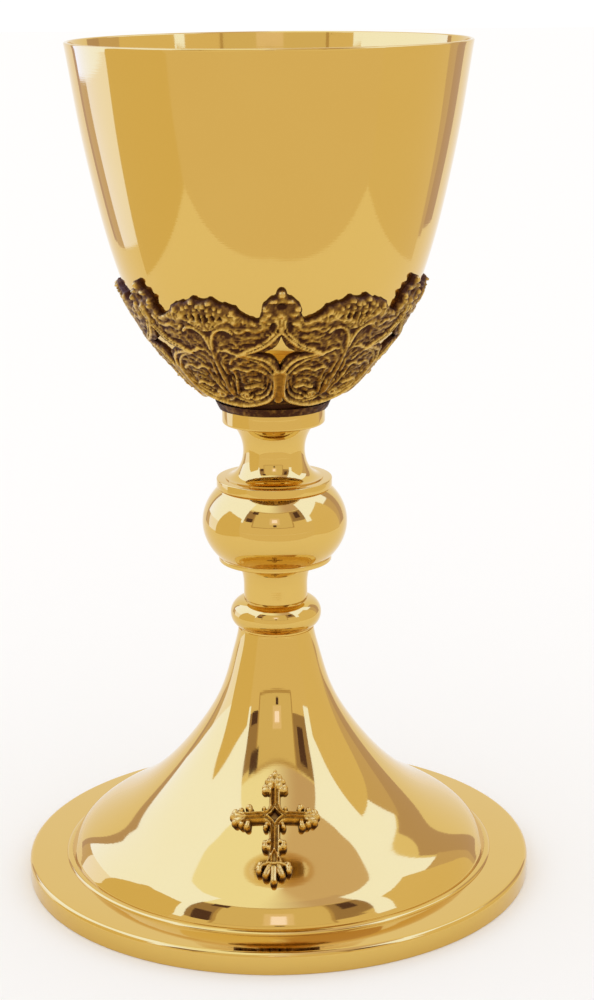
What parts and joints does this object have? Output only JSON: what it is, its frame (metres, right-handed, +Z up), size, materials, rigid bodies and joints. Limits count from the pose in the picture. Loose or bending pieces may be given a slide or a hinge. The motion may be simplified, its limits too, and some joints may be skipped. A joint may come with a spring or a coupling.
{
  "type": "communion chalice",
  "caption": "Gold-finished communion chalice: deep cup in a pierced cast calyx, turned stem with a round knop, bell foot with an applied cross.",
  "frame": {"origin": "centre of the base's underside, on the table plane", "axes": "+Z up the stem towards the lip; -Y is the front, where the cross is; +X is to the right seen from the front"},
  "size_m": [0.135, 0.135, 0.22],
  "materials": {
    "polished_gold": "mirror-polished gold plate on brass",
    "antiqued_gold": "gold plate with dark oxide in the recesses, rubbed bright on the high points",
    "plain_brass": "turned, unplated",
    "steel": "zinc-plated, threaded"
  },
  "bodies": {
    "root": {"cup": "polished_gold", "collar": "polished_gold", "upper_stem": "polished_gold", "knop_top_flange": "polished_gold", "knop": "polished_gold", "knop_bottom_flange": "polished_gold", "lower_stem": "polished_gold", "stem_bead": "polished_gold", "foot": "polished_gold", "base_rim": "polished_gold", "calyx": "antiqued_gold", "calyx_ring": "antiqued_gold", "cross": "antiqued_gold", "cup_boss": "plain_brass", "knop_sleeve": "plain_brass", "foot_bridge": "plain_brass", "cross_studs": "plain_brass", "cross_nuts": "plain_brass", "tie_rod": "steel", "lock_washer": "steel", "rod_nut": "steel"}
  },
  "joints": []
}
